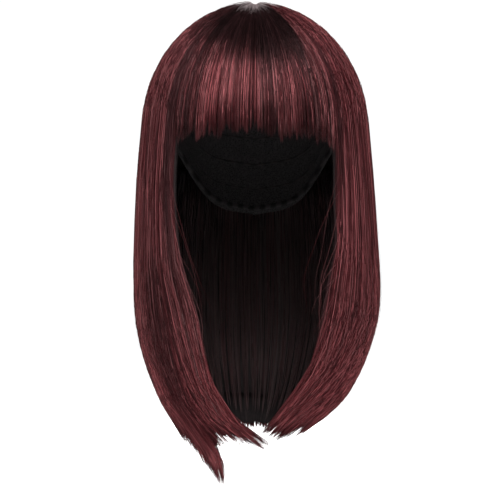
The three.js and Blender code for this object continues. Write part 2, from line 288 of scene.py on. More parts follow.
burgundyStrands = strandMaterial("burgundyStrands", strandLook["brown"], strandLook["red"])
# near-black strands for the layer under the back: painted shade inside the wig
shadedStrands = strandMaterial(
    "shadedStrands",
    [(0, (0.003, 0.0026, 0.0026)), (0.5, (0.02, 0.0165, 0.0165)), (1, (0.07, 0.055, 0.055))],
    [(0, (0.004, 0.002, 0.002)), (0.5, (0.03, 0.011, 0.012)), (1, (0.1, 0.035, 0.038))],
)
# the base under the strands, darker than them: painted shade in the gaps between strands
shadedBurgundyMass = streakedMaterial(
    "shadedBurgundyMass",
    [(0.35, (0.006, 0.002, 0.0025)), (0.52, (0.022, 0.004, 0.005)), (0.7, (0.06, 0.009, 0.011))],
    roughness=0.5, fine=260, long=5, height=0.0006,
)
# near black: painted shade inside the wig, on the inner sheets of the fringe and the back and on the
# layer under the back
shadedDarkMass = streakedMaterial(
    "shadedDarkMass",
    [(0.35, (0.004, 0.003, 0.003)), (0.55, (0.009, 0.0065, 0.0066)), (0.75, (0.02, 0.0135, 0.0138))],
    roughness=0.7, fine=200, long=5, height=0.0005,
)
# the inner sheet of the side panels: near black as painted shade, going over to the base's darker
# burgundy towards the hem
shadedInsideMass = streakedMaterial(
    "shadedInsideMass",
    [(0.36, (0.002, 0.0015, 0.0015)), (0.5, (0.009, 0.006, 0.0062)), (0.66, (0.034, 0.02, 0.021))],
    roughness=0.6, fine=420, long=5, height=0.0006,
    below={
        "from": 0.52, "to": 0.2,
        "stops": [
            (0.35, (0.006, 0.002, 0.0025)), (0.52, (0.02, 0.004, 0.005)), (0.7, (0.06, 0.009, 0.011)),
        ],
    },
)
print("materials made")


# Meshes from arrays

def newPiece(name, points, faces, uvs, materials, faceMaterial=None):
    # faces is a list of arrays, one for each number of corners; uvs has the same form
    mesh = bpy.data.meshes.new(name)
    corners = np.concatenate([part.ravel() for part in faces]).astype(np.int32)
    counts = np.concatenate([np.full(len(part), part.shape[1]) for part in faces])
    starts = np.concatenate([[0], np.cumsum(counts)[:-1]]).astype(np.int32)
    places = np.concatenate([part.reshape(-1, 2) for part in uvs]).astype(np.float32)
    mesh.vertices.add(len(points))
    mesh.vertices.foreach_set("co", np.asarray(points, np.float32).ravel())
    mesh.loops.add(len(corners))
    mesh.loops.foreach_set("vertex_index", corners)
    mesh.polygons.add(len(counts))
    mesh.polygons.foreach_set("loop_start", starts)
    mesh.update(calc_edges=True)
    mesh.polygons.foreach_set("use_smooth", np.ones(len(counts), bool))
    if faceMaterial is not None:
        mesh.polygons.foreach_set("material_index", faceMaterial.astype(np.int32))
    mesh.uv_layers.new(name="OFBake").uv.foreach_set("vector", places.ravel())
    for material in materials:
        mesh.materials.append(material)
    mesh.validate()
    piece = bpy.data.objects.new(name, mesh)
    bpy.context.scene.collection.objects.link(piece)
    return piece


def insideOut(points, quads):
    a, b, c = (points[quads[:, corner]] for corner in range(3))
    return np.einsum("ij,ij->i", a, np.cross(b, c)).sum() < 0


strandForm = {
    "flatness": 0.55, "underSide": 0.5, "halfBase": 0.87,  # its three-sided section
    "apart": 0.004,  # the map's places of its three sides
    "mapEdge": 0.005,
}


def prisms(paths, widths, tones, warmths):
    # each strand is a closed three-sided prism that ends in a point
    count, rings = paths.shape[:2]
    along = np.gradient(paths, axis=1)
    along /= np.linalg.norm(along, axis=2, keepdims=True) + 1e-12
    stretch = np.array([1, (hairShape["side"] / hairShape["front"]) ** 2, 1])
    outward = paths * stretch
    outward[..., 2] = np.maximum(paths[..., 2] + headShape["up"], 0)
    flat = np.cross(along, outward)
    flat /= np.linalg.norm(flat, axis=2, keepdims=True) + 1e-12
    outward = np.cross(flat, along)
    half = widths[..., None]
    out, under = outward * half, outward * half * strandForm["underSide"]
    beside = flat * half * strandForm["halfBase"]
    flatness = strandForm["flatness"]
    ring = np.stack([
        paths + out * flatness,
        paths - beside - under * flatness,
        paths + beside - under * flatness,
    ], 2)
    body = rings - 1
    points = np.concatenate([ring[:, :body].reshape(count, -1, 3), paths[:, -1:]], 1)
    first = (np.arange(count) * (body * 3 + 1))[:, None]
    corner = np.arange(3)
    following = (corner + 1) % 3
    row = (np.arange(body - 1) * 3)[None, :, None] + first[:, :, None]
    quads = np.stack([
        row + corner, row + 3 + corner, row + 3 + following, row + following,
    ], -1).reshape(-1, 4)
    lastRow = first + (body - 1) * 3
    tips = np.stack([
        lastRow + corner, np.broadcast_to(lastRow + 3, (count, 3)), lastRow + following,
    ], -1).reshape(-1, 3)
    roots = np.concatenate([first, first + 1, first + 2], 1)
    apart = np.array([0, strandForm["apart"], -strandForm["apart"]])

    def spread(values, offsets):
        inside = (values[:, :body, None] + offsets).reshape(count, -1)
        return np.concatenate([inside, values[:, -1:]], 1)

    place = np.stack([spread(tones, apart), spread(warmths, apart[::-1])], -1)
    place = np.clip(place.reshape(-1, 2), strandForm["mapEdge"], 1 - strandForm["mapEdge"])
    return points.reshape(-1, 3), quads, np.concatenate([tips, roots]), place


def strandPiece(name, batches, material):
    points, quads, threes, place, start = [], [], [], [], 0
    for batch in batches:
        p, q, t, uv = prisms(*batch)
        points.append(p)
        quads.append(q + start)
        threes.append(t + start)
        place.append(uv)
        start += len(p)
    points, quads, threes, place = (np.concatenate(part) for part in (points, quads, threes, place))
    return newPiece(name, points, [quads, threes], [place[quads], place[threes]], [material])


def shellPiece(name, outer, inner, materials):
    # a closed shell between two grids of points, rows from the root down. The first
    # material is the outer sheet's and the last one that of the rest
    rows, columns = outer.shape[:2]
    points = np.concatenate([outer.reshape(-1, 3), inner.reshape(-1, 3)])
    index = np.arange(rows * columns).reshape(rows, columns)
    far = index + rows * columns

    def sheet(a):
        return np.stack([a[:-1, :-1], a[1:, :-1], a[1:, 1:], a[:-1, 1:]], -1).reshape(-1, 4)

    def strip(a, b):
        return np.stack([a[:-1], a[1:], b[1:], b[:-1]], -1)

    parts = [
        sheet(index),
        sheet(far)[:, ::-1],
        strip(index[0], far[0]),
        strip(index[-1], far[-1])[:, ::-1],
        strip(index[:, 0], far[:, 0])[:, ::-1],
        strip(index[:, -1], far[:, -1]),
    ]
    quads = np.concatenate(parts)
    u, v = np.meshgrid(np.linspace(0.01, 0.49, columns), np.linspace(0.99, 0.01, rows))
    place = np.stack([np.concatenate([u.ravel(), u.ravel() + 0.5]), np.tile(v.ravel(), 2)], -1)
    faceMaterial = np.zeros(len(quads))
    faceMaterial[len(parts[0]):] = len(materials) - 1
    if insideOut(points, quads):  # as a panel of the other side is
        quads = quads[:, ::-1]
    return newPiece(name, points, [quads], [place[quads]], materials, faceMaterial)


# Hair, grown as strands in locks over a base coloured darker as painted shade between the strands

lockForm = {"widthSpread": 0.6, "lengthSpread": 0.5, "tufts": 3}


def lockPlaces(generator, count):
    # the middles and half widths of locks of uneven width that fill 0 to 1
    widths = 1 + lockForm["widthSpread"] * generator.uniform(-1, 1, count)
    edges = np.concatenate([[0], np.cumsum(widths)])
    edges /= edges[-1]
    return (edges[1:] + edges[:-1]) / 2, np.diff(edges) / 2


def lockColumns(middle, half):
    # three columns of a base for each lock and one at the end; off is 1 between two locks
    across = np.stack([middle - half, middle - half / 3, middle + half / 3], 1).ravel()
    off = np.tile([1, 1 / 3, 1 / 3], len(middle))
    return np.append(across, 1)[None, :], np.append(off, 1)[None, :]


def perColumn(values):
    return np.append(np.repeat(values, 3), 0)[None, :]


def makeLocks(panel):
    generator = np.random.default_rng(panel["seed"])
    locks = {}
    for kind in ("locks", "fineLocks"):
        middle, half = lockPlaces(generator, panel[kind])
        locks[kind] = {"middle": middle, "half": half, "edge": middle + half}
    count = panel["fineLocks"]
    locks["longer"] = generator.normal(0, lockForm["lengthSpread"], count)
    locks["tone"] = generator.normal(0, 1, count)
    locks["warmth"] = generator.normal(0, 1, count)
    locks["phase"] = generator.uniform(0, 2 * math.pi, count)
    locks["tuftTone"] = generator.normal(0, 1, lockForm["tufts"] * count)
    return locks


# How strands vary. A pair is where a change starts and ends, or the ends of a spread
growth = {
    "frayedPower": 2.5,  # few are much shorter than the rest
    "stepSpread": (0.9, 1.1),
    "wanders": (0.1, 1.2),
    "ownWander": 0.6, "ownWaves": 2.1, "lockWander": 0.5, "lockWaves": 1.7,
    "clumpPower": 1.3, "clumpSpread": (0.4, 1.3),
    "layerPower": 1.2, "settles": (0, 0.45), "emerges": (0, 0.2), "thins": (1, 1.3),
    "ripple": 0.0003, "rippleWaves": 3.1, "ripplePhase": 1.3,
    "widthSpread": (0.65, 1.35), "highlightWider": 1.35,
    "rootWidth": 0.6, "widens": (0, 0.35), "tipThinner": 0.8,
    "glintWaves": 9, "glintPhase": 5, "slowGlintWaves": 4.3,
}


def nearness(place, middle, half):
    return np.exp(-((place - middle) / half) ** 2)


def growStrands(panel, locks, batch, turnAt):
    # panel is the dictionary of one panel of hair and batch that of one lot of its strands
    generator = np.random.default_rng(panel["seed"] + batch["seed"])
    count = batch["strands"]
    across = (generator.permutation(count) + generator.uniform(0, 1, count)) / count
    for gap in panel.get("gaps", []):
        thinned = gap["thinned"] * nearness(across, gap["across"], gap["half"])
        across = across[generator.uniform(0, 1, len(across)) > thinned]
    count = len(across)

    lock = np.clip(np.searchsorted(locks["locks"]["edge"], across), 0, panel["locks"] - 1)
    fine = np.clip(np.searchsorted(locks["fineLocks"]["edge"], across), 0, panel["fineLocks"] - 1)
    tuft = (across * lockForm["tufts"] * panel["fineLocks"]).astype(int)
    offLock = np.abs(across - locks["locks"]["middle"][lock]) / locks["locks"]["half"][lock]
    fineMiddle, fineHalf = locks["fineLocks"]["middle"][fine], locks["fineLocks"]["half"][fine]
    offFine = (across - fineMiddle) / fineHalf

    # some strands drift to one place at the hem
    settledAt = across
    for drift in panel["drifts"]:
        low, high = drift["of"]
        drifting = drift["share"] * smooth(across, *drift["among"])
        drifting = drifting * (across >= low) * (across < high)
        settledAt = settledAt + (drift["to"] - across) * drifting
    hem = readTable(panel["hem"], "down", "across", settledAt) + panel["reach"] / fallShape["length"]
    shorter = (
        panel["notch"] * offLock**2
        + panel["uneven"] * locks["longer"][fine]
        + panel["frayed"] * generator.uniform(0, 1, count) ** growth["frayedPower"]
    )
    end = pathAt(hem - shorter / fallShape["length"])
    start = generator.uniform(*batch["start"], count)
    spacing = np.array(batch["spacing"])
    share = spacing[None, :] ** generator.uniform(*growth["stepSpread"], (count, 1))
    path = mix(start[:, None], end[:, None], share)

    phase = generator.uniform(0, 2 * math.pi, (count, 1))
    lockPhase = locks["phase"][fine][:, None]
    wander = panel["wander"] * smooth(path, *growth["wanders"]) * (
        growth["ownWander"] * np.sin(growth["ownWaves"] * path + phase)
        + growth["lockWander"] * np.sin(growth["lockWaves"] * path + lockPhase)
    )
    toTip = smooth(path, panel["clumpFrom"], end[:, None]) ** growth["clumpPower"]
    pull = 1 - panel["clump"] * toTip * generator.uniform(*growth["clumpSpread"], (count, 1))
    place = fineMiddle[:, None] + (offFine * fineHalf)[:, None] * pull + wander
    place = place + (settledAt - across)[:, None] * smooth(path, panel["driftFrom"], end[:, None])

    # how deep it lies
    layer = generator.uniform(0, 1, count) ** growth["layerPower"]
    ridge = panel["ridge"] * offLock**2 + panel["fineRidge"] * offFine**2
    grown = smooth(path, *growth["settles"])
    inset = panel["inset"] + (panel["layers"] * layer + ridge)[:, None] * grown
    inset = inset + batch["buried"] * (1 - smooth(path - start[:, None], *growth["emerges"]))
    ripple = np.sin(growth["rippleWaves"] * path + growth["ripplePhase"] * phase)
    inset = inset + growth["ripple"] * ripple * grown
    inset = inset * mix(1, fallShare("thick", path), smooth(path, *growth["thins"]))
    turn = turnAt(np.clip(place, 0, panel["widest"]), path)
    points = hairPoint(turn, path, inset, 0.0, panel.get("side"))

    uneven = panel["unevenTone"]
    # a share of strands lighter and wider: painted highlights, strands that catch the light
    light = generator.uniform(0, 1, count) < uneven["highlightShare"]
    width = batch["width"] * generator.uniform(*growth["widthSpread"], (count, 1))
    width = width * mix(1, growth["highlightWider"], light[:, None])
    width = width * mix(growth["rootWidth"], 1, smooth(path, *growth["widens"]))
    width = width * (1 - growth["tipThinner"] * smooth(share, batch["taper"], 1))

    # tone and warmth, darker at the roots: partly the hair's own darker roots and partly painted shade
    # on the crown above the highlight band
    tone = (
        readTable(panel["look"], "tone", "across", across)
        + uneven["lock"] * locks["tone"][fine]
        + uneven["tuft"] * locks["tuftTone"][tuft]
        + uneven["strand"] * generator.normal(0, 1, count)
        # deeper strands darker: painted shade under the strands on top
        - uneven["deep"] * layer
        # painted highlight on the light strands
        + uneven["light"] * light
    )
    warmth = (
        readTable(panel["look"], "warmth", "across", across)
        + uneven["lock"] * locks["warmth"][fine]
        + uneven["strand"] * generator.normal(0, 1, count)
    )
    glint = np.sin(growth["glintWaves"] * path + growth["glintPhase"] * phase)
    glint = 1 + uneven["glint"] * glint * np.sin(growth["slowGlintWaves"] * path + phase)
    # darker near the parting, partly as painted shade
    roots = panel["roots"]
    reach = readTable(roots, "reach", "across", across)[:, None]
    reach = reach * (1 + roots["uneven"] * generator.normal(0, 1, (count, 1)))
    grownOut = smooth(path, reach - roots["soft"], reach + roots["soft"])
    tone = tone[:, None] * glint * mix(roots["tone"], 1, grownOut)
    warmth = warmth[:, None] * mix(roots["warmth"], 1, grownOut)
    ends = smooth(path, *panel["ends"]["from"])
    tone = tone * mix(1, panel["ends"]["tone"], ends)
    warmth = warmth * mix(1, panel["ends"]["warmth"], ends)
    # darker tufts and streaks; those below the fringe's highlight band and along the face edges are
    # painted shade
    for middle, half, starts, stops, darker, duller in panel.get("streaks", []):
        inStreak = nearness(place, middle, half) * smooth(path, *starts)
        inStreak = inStreak * (1 - smooth(path, *stops))
        tone = tone * (1 - darker * inStreak)
        warmth = warmth * (1 - duller * inStreak)
    return points, width, tone, warmth


massForm = {
    "settles": (0, 0.4), "edgeInset": 0.0025, "edgePower": 16,
    # how deep the inner sheet lies, which comes near the outer one at the hem
    "rootDeep": 0.5, "deepens": (0, 0.2), "hemThinner": 0.8, "thinsFrom": 0.75, "apart": 0.0004,
}


def growMass(panel, locks, turnAt):
    # the base under the strands, from beside the parting to a little above the hem
    across, off = lockColumns(locks["fineLocks"]["middle"], locks["fineLocks"]["half"])
    longer = perColumn(locks["longer"])
    hem = np.minimum(readTable(panel["hem"], "down", "across", across), panel["massLowest"])
    above = panel["massAbove"] * (1 + off**2) + panel["uneven"] * longer
    for gap in panel.get("gaps", []):
        above = above + gap["above"] * nearness(across, gap["across"], gap["half"])
    end = pathAt(hem - above / fallShape["length"])
    share = np.linspace(0, 1, panel["massRows"])[:, None]
    path = mix(panel["massFrom"], end, share)
    settled = smooth(path, *massForm["settles"])
    inset = panel["massInset"] + panel["fineRidge"] * off**2
    inset = inset * settled * fallShare("thick", path)
    edge = massForm["edgeInset"] * np.abs(2 * across - 1) ** massForm["edgePower"]
    inset = inset + edge * settled
    turn = turnAt(across, path)
    outer = hairPoint(turn, path, inset, 0.0, panel.get("side"))
    deep = mix(massForm["rootDeep"], 1, smooth(path, *massForm["deepens"]))
    deep = deep * (1 - massForm["hemThinner"] * smooth(share, massForm["thinsFrom"], 1))
    thin = panel["thin"]
    deep = deep * (1 - thin["by"] * smooth(path, *thin["path"]) * smooth(across, *thin["across"]))
    inner = hairPoint(turn, path, inset * (1 - deep) + massForm["apart"], deep, panel.get("side"))
    return outer, inner


def growPanel(node, panel, turnAt):
    locks = makeLocks(panel)
    outer, inner = growMass(panel, locks, turnAt)
    mass = shellPiece(node + "_base", outer, inner, [shadedBurgundyMass, panel["inside"]])
    batches = [growStrands(panel, locks, batch, turnAt) for batch in panel["batches"]]
    strands = strandPiece(node + "_strands", batches, burgundyStrands)
    for piece in (mass, strands):
        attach(piece, "root")
        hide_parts(node)
        piece.data.calc_loop_triangles()
    print(node, "triangles", len(mass.data.loop_triangles), len(strands.data.loop_triangles))


# Each panel has strands from the parting and others that come out from under them.
# Spacing places the rings along a strand, and taper is where it starts to thin
fromRoot = {"seed": 1, "start": (0, 0.02), "buried": 0}
fromUnder = {"seed": 2, "start": (0.4, 1.6), "buried": 0.003}
fringe = {
    "seed": 110, "locks": 11, "fineLocks": 70,
    "batches": [
        fromRoot | {"strands": 2200, "taper": 0.9, "width": 0.00024,
                    "spacing": [0, 0.018, 0.12, 0.24, 0.37, 0.5, 0.64, 0.78, 0.9, 1]},
        fromUnder | {"strands": 2000, "taper": 0.8, "width": 0.00022,
                     "start": (0.2, 0.6), "buried": 0.002, "spacing": np.linspace(0, 1, 7)},
    ],
    "hem": {
        "across": [0, 0.16, 0.28, 0.36, 0.45, 0.54, 0.6, 0.65, 0.72, 0.84, 1],
        "down": [0.042, 0.034, 0.022, 0.013, 0.008, 0.012, 0.032, 0.037, 0.031, 0.038, 0.058],
    },
    "reach": 0.003, "notch": 0.005, "uneven": 0.004, "frayed": 0.016,
    "drifts": [], "driftFrom": 1, "widest": 1,
    "clumpFrom": 0.55, "clump": 0.45, "wander": 0.006,
    "inset": 0.0001, "layers": 0.002, "ridge": 0.0009, "fineRidge": 0.0006,
    "look": {
        "across": [0, 0.08, 0.2, 0.4, 0.52, 0.6, 0.7, 0.85, 1],
        "tone": [0.24, 0.29, 0.49, 0.51, 0.46, 0.36, 0.49, 0.34, 0.48],
        "warmth": [0.5, 0.5, 0.7, 0.7, 0.65, 0.5, 0.65, 0.5, 0.7],
    },
    # the darker roots: partly the hair's own and partly painted shade on the crown above the highlight
    # band
    "roots": {
        "across": [0, 0.05, 0.16, 0.41, 0.56, 0.66, 0.76, 0.86, 0.92, 1],
        "reach": [0.34, 0.4, 0.5, 0.55, 0.6, 0.62, 0.6, 0.58, 0.2, 0.05],
        "tone": 0.38, "warmth": 0.22, "soft": 0.07, "uneven": 0.07,
    },
    "ends": {"from": (0.85, 1.05), "tone": 1.25, "warmth": 1.1},
    "unevenTone": {
        "lock": 0.04, "tuft": 0.1, "strand": 0.2, "deep": 0.18, "glint": 0.28,
        "highlightShare": 0.14, "light": 0.36,
    },
    "massFrom": 0.01, "massAbove": 0.02, "massInset": 0.0022, "massRows": 30,
    "massLowest": 2, "inside": shadedDarkMass,
    "thin": {"by": 0.68, "path": (0.6, 1), "across": (-1, 0)},  # all the way across
    # the darker tufts between the thin places, painted shade below the highlight band: where across
    # and half as wide, where they start and end along the path, and how much less tone and warmth they
    # have
    "streaks": [
        (0.08, 0.035, (0.78, 0.92), (1.3, 1.4), 0.35, 0.3),
        (0.31, 0.09, (0.82, 0.95), (1.3, 1.4), 0.4, 0.1),
        (0.59, 0.045, (0.8, 0.93), (1.3, 1.4), 0.4, 0.2),
        (0.8, 0.06, (0.8, 0.93), (1.3, 1.4), 0.4, 0.2),
    ],
    # where the hair is thin and the fringe can be seen through
    "gaps": [
        {"across": 0.125, "half": 0.03, "thinned": 0.5, "above": 0.01},
        {"across": 0.49, "half": 0.035, "thinned": 0.6, "above": 0.02},
        {"across": 0.7, "half": 0.04, "thinned": 0.6, "above": 0.02},
    ],
}


def fringeTurn(across, path):
    edge = math.asin(fallShape["faceEdge"])
    return mix(-edge, edge, across) + 0 * path


growPanel("fringe", fringe, fringeTurn)

rootSpacing = [0, 0.008, 0.055, 0.11, 0.17, 0.235, 0.3, 0.37, 0.48, 0.62, 0.76, 0.87, 0.94, 1]
underSpacing = [0, 0.14, 0.28, 0.42, 0.56, 0.7, 0.83, 0.94, 1]
sides = {
    "locks": 9, "fineLocks": 80,
    "batches": [
        fromRoot | {"strands": 1600, "taper": 0.93, "width": 0.00025, "spacing": rootSpacing},
        fromUnder | {"strands": 1600, "taper": 0.93, "width": 0.00024, "spacing": underSpacing},
    ],
    "notch": 0.003, "uneven": 0.003, "frayed": 0.018,
    "driftFrom": 2.1, "widest": 1.08, "clumpFrom": 1.3, "clump": 0.28, "wander": 0.012,
    "inset": 0.0001, "layers": 0.0024, "ridge": 0.0012, "fineRidge": 0.0007,
    "roots": {
        "across": [0, 0.5, 1], "reach": [0.15, 0.2, 0.22],
        "tone": 0.45, "warmth": 0.5, "soft": 0.12, "uneven": 0.1,
    },
    "ends": {"from": (2, 2.7), "tone": 1.03, "warmth": 1.5},
    "unevenTone": {
        "lock": 0.05, "tuft": 0.13, "strand": 0.18, "deep": 0.18, "glint": 0.3,
        "highlightShare": 0.14, "light": 0.38,
    },
    "massFrom": 0.004, "massAbove": 0.005, "massInset": 0.0024, "massRows": 32,
    "massLowest": 2, "inside": shadedInsideMass,
    "thin": {"by": 0.75, "path": (0.6, 1), "across": (0.7, 1)},
}
leftSide = sides | {
    "seed": 210, "side": "left", "reach": 0.007, "massLowest": 1.06,
    "drifts": [
        {"of": (0, 0.755), "to": 0.765, "share": 0.65, "among": (0.1, 0.5)},
        {"of": (0.755, 1), "to": 1.06, "share": 0.4, "among": (0.76, 0.9)},
    ],
    "hem": {
        "across": [0, 0.3, 0.52, 0.62, 0.69, 0.745, 0.765, 0.79, 0.9, 1],
        "down": [0.978, 0.995, 1.022, 1.055, 1.105, 1.148, 1.13, 1.035, 1.03, 1.025],
    },
    "look": {
        "across": [0, 0.3, 0.6, 0.85, 1],
        "tone": [0.52, 0.58, 0.58, 0.5, 0.44],
        "warmth": [0.66, 0.73, 0.65, 0.62, 0.64],
    },
    "ends": {"from": (2, 2.7), "tone": 0.97, "warmth": 1.6},
    "roots": sides["roots"] | {"reach": [0.18, 0.32, 0.5], "soft": 0.18},
    "streaks": [
        # painted shade along the face edge, then a darker streak low down towards the tip
        (0.95, 0.05, (0.3, 0.7), (1.5, 2.1), 0.5, 0.5),
        (0.72, 0.1, (1.5, 1.9), (2.45, 2.75), 0.45, 0.3),
    ],
}
rightSide = sides | {
    "seed": 310, "side": "right", "reach": 0.006,
    "roots": sides["roots"] | {"reach": [0.12, 0.08, 0.04]},
    "drifts": [{"of": (0, 1), "to": 1.08, "share": 0.6, "among": (0.05, 0.5)}],
    "clump": 0.12,
    "hem": {"across": [0, 0.5, 0.8, 0.95, 1.08], "down": [0.982, 0.989, 0.997, 0.987, 0.974]},
    "look": {
        "across": [0, 0.3, 0.6, 0.85, 1],
        "tone": [0.45, 0.49, 0.45, 0.43, 0.44],
        "warmth": [0.65, 0.88, 0.8, 0.76, 0.8],
    },
    "streaks": [
        # painted shade along the face edge
        (0.95, 0.04, (0.3, 0.7), (1.0, 1.6), 0.4, 0.3),
    ],
}


def leftTurn(across, path):
    return -sideTurn("leftEdge", across, path)


def rightTurn(across, path):
    return sideTurn("rightEdge", across, path)


growPanel("left_side", leftSide, leftTurn)
growPanel("right_side", rightSide, rightTurn)

backHair = sides | {
    "seed": 410, "locks": 14, "fineLocks": 100,
    "batches": [
        fromRoot | {"strands": 1400, "taper": 0.96, "width": 0.00036,
                    "spacing": [*rootSpacing[:-1], 0.98, 1]},
        fromUnder | {"strands": 1500, "taper": 0.96, "width": 0.00036,
                     "spacing": [*underSpacing[:-1], 0.98, 1]},
    ],
    "hem": {"across": [0, 0.5, 1], "down": [0.985, 1, 0.985]},
    "reach": 0.002, "notch": 0.0015, "uneven": 0.001, "frayed": 0.006,
    "drifts": [], "widest": 1,
    "clump": 0.08, "wander": 0.008, "massAbove": 0.0022,
    "layers": 0.0026, "ridge": 0.0016, "fineRidge": 0.0008,
    "look": {"across": [0, 0.5, 1], "tone": [0.44, 0.44, 0.44], "warmth": [0.75, 0.7, 0.75]},
    "roots": sides["roots"] | {"reach": [0.15, 0.2, 0.15]},
    "unevenTone": sides["unevenTone"] | {"tuft": 0.08},
    "massInset": 0.0026, "inside": shadedDarkMass, "thin": sides["thin"] | {"by": 0},
}


def backTurn(across, path):
    edge = fallShape["backEdge"]
    return mix(edge, 2 * math.pi - edge, across) + 0 * path


growPanel("back_hair", backHair, backTurn)


# The layer under the back, which shows on both sides of the neck, coloured near black as painted shade
# inside the wig

nape = {
    "seed": 510, "strands": 1100, "rings": 10, "width": 0.00045,
    "reach": math.radians(98), "wall": 0.0056, "tipWall": 0.0022, "gap": 0.0012, "tipGap": 0.0032,
    "from": 0.12, "to": 0.93, "fineLocks": 46, "ridge": 0.0014, "tone": 0.68, "warmth": 0.2,
    "longer": 0.03, "frayed": 0.13, "uneven": 0.02, "notch": 0.03, "startSpread": 0.3,
    "clump": 0.5, "clumps": (0.4, 0.93), "sway": 0.004, "swayWaves": 5, "lift": 0.6, "layer": 0.95,
    "widthSpread": (0.7, 1.3), "tipThinner": 0.5, "taper": 0.8, "toneSpread": 0.09,
    "warmthSpread": 0.2,
    "massAbove": 0.04, "massRows": 34, "massNotch": 0.15, "massUneven": 0.01,
    "massRidge": 0.4, "ridgeFrom": (0, 0.2), "massApart": 0.0008,
    "hemThinner": 0.6, "thinsFrom": 0.85,
}


def napePoint(across, down, inset, layer):
    across, down, inset, layer = np.broadcast_arrays(across, down, inset, layer)
    turn = math.pi + mix(-nape["reach"], nape["reach"], across)
    share = np.clip((down - nape["from"]) / (nape["to"] - nape["from"]), 0, 1)
    clear = mix(nape["gap"], nape["tipGap"], share)
    wall = mix(nape["wall"], nape["tipWall"], share)
    return hairPoint(turn, pathAt(down), clear + wall * layer + inset, 1.0)


def growNape():
    generator = np.random.default_rng(nape["seed"])
    middle, half = lockPlaces(generator, nape["fineLocks"])
    longer = generator.normal(0, lockForm["lengthSpread"], nape["fineLocks"])
    across, off = lockColumns(middle, half)
    share = np.linspace(0, 1, nape["massRows"])[:, None]
    end = nape["to"] - nape["massAbove"] * (1 + nape["massNotch"] * off**2)
    end = end + nape["massUneven"] * perColumn(longer)
    down = mix(nape["from"], end, share)
    ridge = nape["ridge"] * (1 - off**2) * smooth(share, *nape["ridgeFrom"])
    outer = napePoint(across, down, 0.0, 0.0)
    inset = ridge * nape["massRidge"] - nape["massApart"]
    deep = 1 - nape["hemThinner"] * smooth(share, nape["thinsFrom"], 1)
    inner = napePoint(across, down, inset, deep)
    mass = shellPiece("nape_base", outer, inner, [shadedDarkMass])

    count = nape["strands"]
    place = (generator.permutation(count) + generator.uniform(0, 1, count)) / count
    fine = np.clip(np.searchsorted(middle + half, place), 0, nape["fineLocks"] - 1)
    offset = (place - middle[fine]) / half[fine]
    frayed = nape["frayed"] * generator.uniform(0, 1, count) ** 2
    end = nape["to"] + nape["longer"] + nape["uneven"] * longer[fine]
    end = end - frayed - nape["notch"] * offset**2
    start = nape["from"] + nape["startSpread"] * generator.uniform(0, 1, count) ** 2
    share = np.linspace(0, 1, nape["rings"])[None, :]
    along = mix(start[:, None], end[:, None], share)
    pull = 1 - nape["clump"] * smooth(along, *nape["clumps"])
    phase = generator.uniform(0, 6.3, (count, 1))
    sway = nape["sway"] * np.sin(nape["swayWaves"] * along + phase)
    at = middle[fine][:, None] + (offset * half[fine])[:, None] * pull + sway
    lift = nape["ridge"] * (nape["lift"] - generator.uniform(0, 1, (count, 1)))
    points = napePoint(np.clip(at, 0.002, 0.998), along, lift, nape["layer"])
    width = nape["width"] * generator.uniform(*nape["widthSpread"], (count, 1))
    width = width * (1 - nape["tipThinner"] * smooth(share, nape["taper"], 1))
    tone = nape["tone"] + nape["toneSpread"] * generator.normal(0, 1, (count, 1))
    warmth = nape["warmth"] + nape["warmthSpread"] * generator.normal(0, 1, (count, 1))
    tone, warmth = tone + 0 * along, warmth + 0 * along
    strands = strandPiece("nape_strands", [(points, width, tone, warmth)], shadedStrands)
    for piece in (mass, strands):
        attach(piece, "root")
        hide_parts("nape_layer")


growNape()
print("nape layer grown")


# Fine root hairs beside the parting, pale grey as painted sheen on the roots, and loose hairs that
# stray from the panels

rootHairs = {
    "seed": 610, "strands": 200, "rings": 7, "width": 0.00018, "length": (0.06, 0.22),
    "from": 0.004, "stray": 0.25, "widthSpread": (0.7, 1.3),
    "middle": -0.12, "reach": 0.5, "tone": (0.35, 1), "above": 0.0003,
}
# pale grey to reddish: painted sheen on the root hairs
sheenedRootHairs = strandMaterial(
    "sheenedRootHairs",
    [(0, (0.01, 0.008, 0.008)), (0.5, (0.17, 0.15, 0.15)), (1, (0.56, 0.52, 0.52))],
    [(0, (0.02, 0.006, 0.007)), (0.5, (0.09, 0.03, 0.033)), (1, (0.25, 0.1, 0.11))],
)


def growRootHairs():
    generator = np.random.default_rng(rootHairs["seed"])
    count = rootHairs["strands"]
    turn = rootHairs["middle"] + generator.normal(0, 1, (count, 1)) * rootHairs["reach"]
    length = generator.uniform(*rootHairs["length"], (count, 1))
    share = np.linspace(0, 1, rootHairs["rings"])[None, :]
    path = rootHairs["from"] + length * share
    stray = generator.normal(0, rootHairs["stray"], (count, 1)) * share
    arch = 2 * generator.uniform(0, 1, (count, 1)) * np.sin(math.pi * share)
    points = hairPoint(turn + stray, path, -rootHairs["above"] * (1 + arch))
    width = rootHairs["width"] * generator.uniform(*rootHairs["widthSpread"], (count, 1))
    width = width * (1 - 0.7 * smooth(share, 0.6, 1))
    # pale at the parting and darker along: painted sheen
    tone = generator.uniform(*rootHairs["tone"], (count, 1)) * (1 - 0.7 * smooth(share, 0.45, 1))
    warmth = 0.3 * share + 0.1 * generator.uniform(0, 1, (count, 1))
    roots = strandPiece("root_hairs", [(points, width, tone, warmth)], sheenedRootHairs)
    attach(roots, "root")


growRootHairs()

